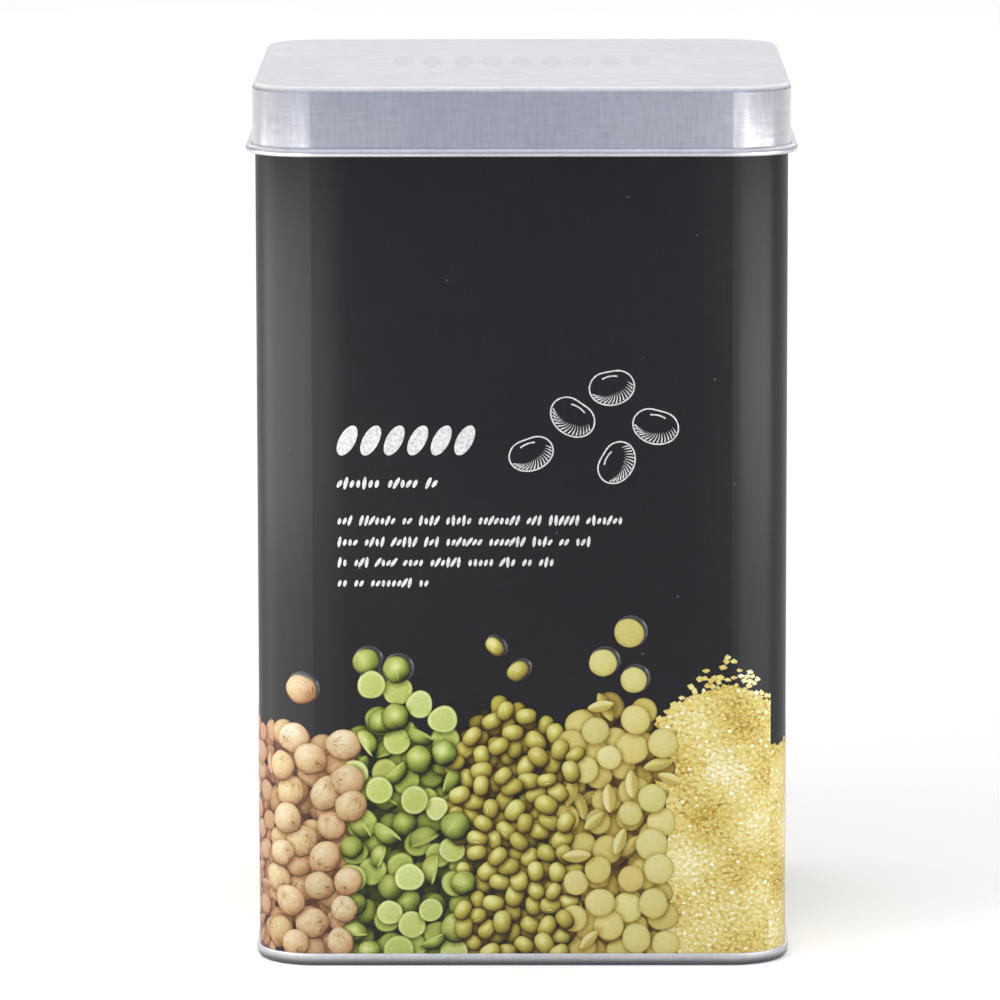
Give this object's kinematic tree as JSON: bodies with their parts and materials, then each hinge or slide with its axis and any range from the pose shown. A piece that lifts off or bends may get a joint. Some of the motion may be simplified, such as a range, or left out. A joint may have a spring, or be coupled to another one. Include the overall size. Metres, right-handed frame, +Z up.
{
  "type": "metal storage canister",
  "caption": "Tall square tinplate storage canister with rounded corners, a slip-on lid with a rolled edge and a seamed base, shut.",
  "frame": {"origin": "middle of the footprint, on the surface that the canister stands on", "axes": "+Z up, -Y out of the front face, +X to the right seen from the front"},
  "size_m": [0.12, 0.12, 0.1932],
  "materials": {
    "black_lacquer": "satin black lacquer with a printed band",
    "seam_tinplate": "bright satin tinplate",
    "lid_tinplate": "finely brushed tinplate"
  },
  "bodies": {
    "root": {"body": "black_lacquer", "base": "seam_tinplate", "lid": "lid_tinplate"}
  },
  "joints": []
}
